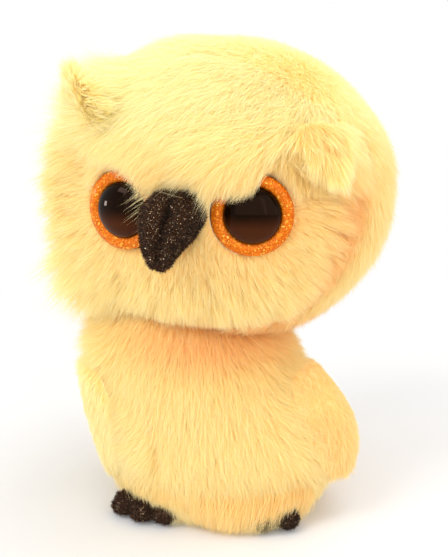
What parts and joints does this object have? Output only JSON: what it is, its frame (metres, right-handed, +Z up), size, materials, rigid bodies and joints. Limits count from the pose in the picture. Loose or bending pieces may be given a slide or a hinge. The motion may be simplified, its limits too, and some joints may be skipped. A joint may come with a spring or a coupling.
{
  "type": "plush owl",
  "caption": "Stuffed toy owl with a big round shaggy head, domed glitter eyes, a dark beak, side wings, ear tufts and scalloped dark feet, standing on a flat base",
  "frame": {"origin": "On the floor under the middle of the head, at the centre of the flat base panel.", "axes": "The owl faces -Y, +Z is up, and +X is the owl's own left, on the right of the picture."},
  "size_m": [0.104, 0.1027, 0.153],
  "materials": {
    "long_plush": "long-pile plush, cream yellow tips over a peach ground",
    "short_plush": "shorter, smoother plush in the same cream yellow",
    "fibre_fill": "loose polyester fibre fill",
    "pellet_cloth": "plain woven bag full of plastic pellets",
    "sparkle_velour": "near-black velour with fine glitter",
    "sparkle_fabric": "dark brown fabric with fine glitter",
    "glitter_plastic": "clear plastic over orange-gold glitter",
    "dark_gloss_plastic": "polished brown-black dome",
    "white_nylon": "moulded lock washer"
  },
  "bodies": {
    "torso": {"head_face_panel": "long_plush", "head_crown_panel": "long_plush", "head_back_left": "short_plush", "head_back_right": "short_plush", "head_stuffing": "fibre_fill", "body_belly_panel": "long_plush", "body_back_left": "short_plush", "body_back_right": "short_plush", "base_panel": "short_plush", "body_stuffing": "fibre_fill", "pellet_bag": "pellet_cloth", "beak_panel_left": "sparkle_velour", "beak_panel_right": "sparkle_velour", "beak_stuffing": "fibre_fill", "foot_upper_left": "sparkle_fabric", "foot_upper_right": "sparkle_fabric", "foot_sole_left": "sparkle_fabric", "foot_sole_right": "sparkle_fabric", "eye_iris_left": "glitter_plastic", "eye_iris_right": "glitter_plastic", "eye_pupil_left": "dark_gloss_plastic", "eye_pupil_right": "dark_gloss_plastic", "eye_washer_left": "white_nylon", "eye_washer_right": "white_nylon"},
    "wing_left": {"wing_lining_left": "short_plush", "wing_outer_left": "short_plush"},
    "wing_right": {"wing_lining_right": "short_plush", "wing_outer_right": "short_plush"},
    "ear_left": {"ear_lining_left": "short_plush", "ear_tuft_left": "long_plush"},
    "ear_right": {"ear_lining_right": "short_plush", "ear_tuft_right": "long_plush"}
  },
  "joints": [
    {"name": "wing_left_lift", "type": "hinge", "parent": "torso", "child": "wing_left", "pos_m": [0.02642, -0.00576, 0.0522], "axis": [-0.1045, -0.9945, 0], "range_deg": [0, 65]},
    {"name": "wing_right_lift", "type": "hinge", "parent": "torso", "child": "wing_right", "pos_m": [-0.03983, -0.0181, 0.05102], "axis": [-0.4848, 0.8746, 0], "range_deg": [0, 65]},
    {"name": "ear_left_lift", "type": "hinge", "parent": "torso", "child": "ear_left", "pos_m": [0.03402, -0.03193, 0.12775], "axis": [-0.7391, -0.6736, 0], "range_deg": [0, 125]},
    {"name": "ear_right_lift", "type": "hinge", "parent": "torso", "child": "ear_right", "pos_m": [-0.03401, -0.03192, 0.12775], "axis": [-0.7402, 0.6724, 0], "range_deg": [-118, 0]}
  ]
}
